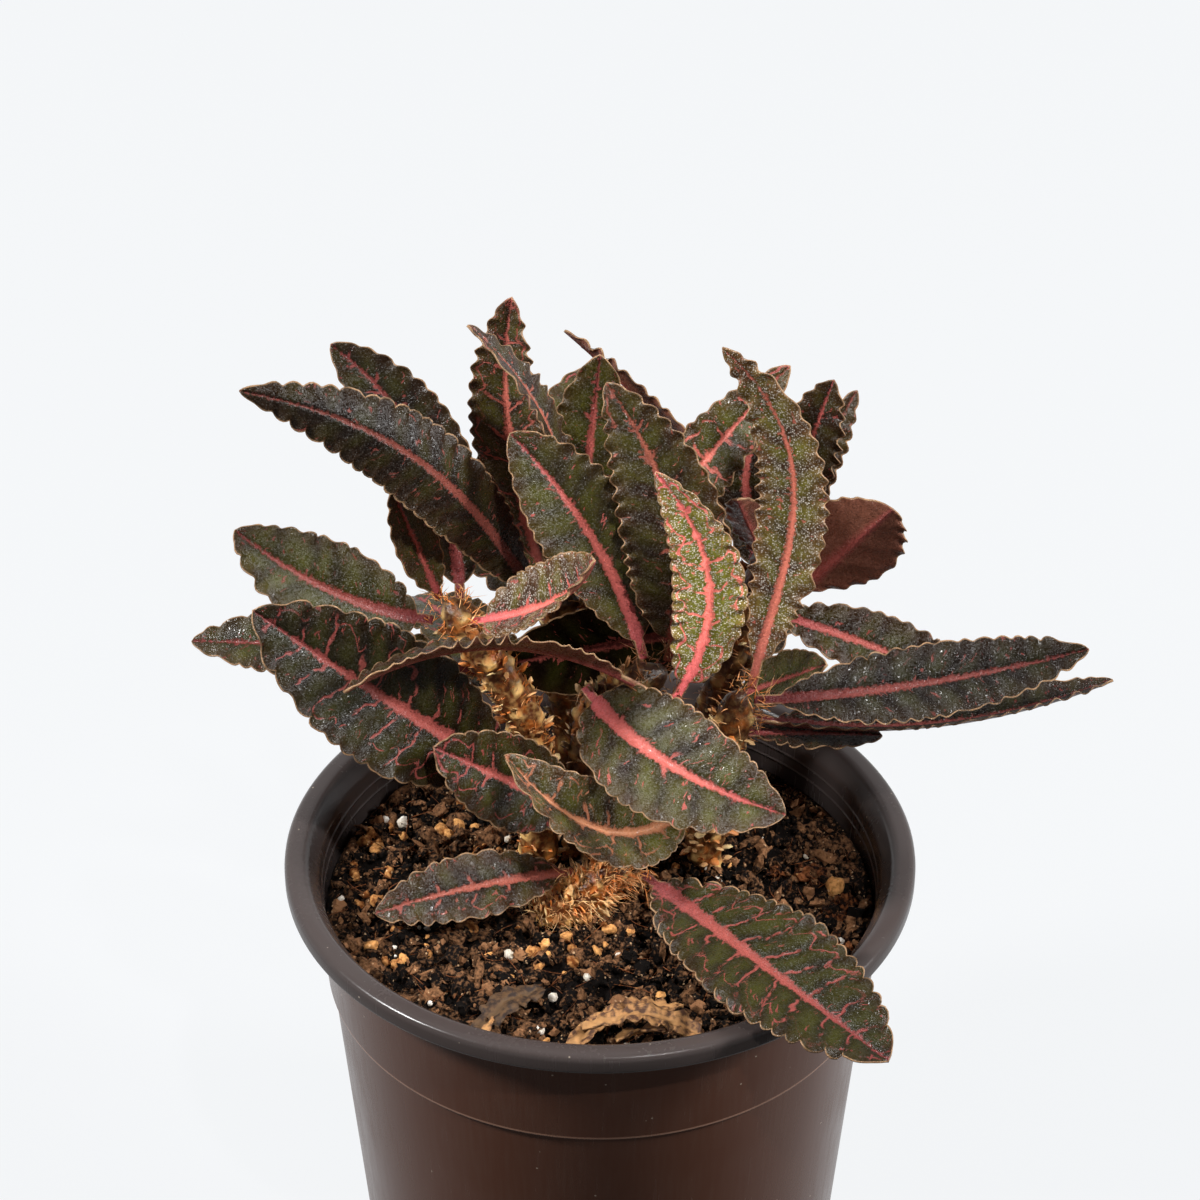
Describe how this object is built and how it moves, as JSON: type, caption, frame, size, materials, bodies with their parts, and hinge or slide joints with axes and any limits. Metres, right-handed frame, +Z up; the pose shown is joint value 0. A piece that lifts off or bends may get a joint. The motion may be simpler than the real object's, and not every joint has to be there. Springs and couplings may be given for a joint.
{
  "type": "potted euphorbia",
  "caption": "Small clumping euphorbia with waved, pink-ribbed dark leaves on scaly stems, rooted in a round nursery pot with a wide lip.",
  "frame": {"origin": "centre of the pot's flat base, in the plane that it rests on", "axes": "+Z up through the pot's axis, -Y towards the side that the plant shows in front, +X to the right seen from there"},
  "size_m": [0.1593, 0.1301, 0.183],
  "materials": {
    "pot_plastic": "satin dark brown, glossier on the lip",
    "soil_mix": "matt, crumbly",
    "stem_bark": "matt, scaly",
    "leaf_lamina": "waxy, finely grained",
    "dry_leaf": "matt, papery"
  },
  "bodies": {
    "root": {"dry_leaf_crimped": "dry_leaf", "dry_leaf_dark": "dry_leaf", "dry_leaf_fork": "dry_leaf", "leaf_back_centre": "leaf_lamina", "leaf_back_left": "leaf_lamina", "leaf_back_low": "leaf_lamina", "leaf_back_low_left": "leaf_lamina", "leaf_back_low_right": "leaf_lamina", "leaf_back_right": "leaf_lamina", "leaf_centre_arching": "leaf_lamina", "leaf_centre_broad": "leaf_lamina", "leaf_centre_dark": "leaf_lamina", "leaf_centre_front": "leaf_lamina", "leaf_centre_green": "leaf_lamina", "leaf_far_curl": "leaf_lamina", "leaf_far_dark": "leaf_lamina", "leaf_far_end": "leaf_lamina", "leaf_far_left": "leaf_lamina", "leaf_far_out": "leaf_lamina", "leaf_far_top": "leaf_lamina", "leaf_front_behind": "leaf_lamina", "leaf_front_curled": "leaf_lamina", "leaf_front_left": "leaf_lamina", "leaf_front_right": "leaf_lamina", "leaf_inner_back": "leaf_lamina", "leaf_left_back": "leaf_lamina", "leaf_left_big": "leaf_lamina", "leaf_left_far": "leaf_lamina", "leaf_left_inner": "leaf_lamina", "leaf_left_long": "leaf_lamina", "leaf_left_small": "leaf_lamina", "leaf_left_upper": "leaf_lamina", "leaf_rear_curled": "leaf_lamina", "leaf_rear_mid": "leaf_lamina", "leaf_rear_orange": "leaf_lamina", "leaf_rear_tall": "leaf_lamina", "leaf_right_back": "leaf_lamina", "leaf_right_green": "leaf_lamina", "leaf_right_long": "leaf_lamina", "leaf_right_low": "leaf_lamina", "leaf_right_tall": "leaf_lamina", "leaf_right_under": "leaf_lamina", "pot": "pot_plastic", "soil": "soil_mix", "stem_centre": "stem_bark", "stem_front": "stem_bark", "stem_left": "stem_bark", "stem_rear": "stem_bark", "stem_rear_right": "stem_bark", "stem_right": "stem_bark"}
  },
  "joints": []
}
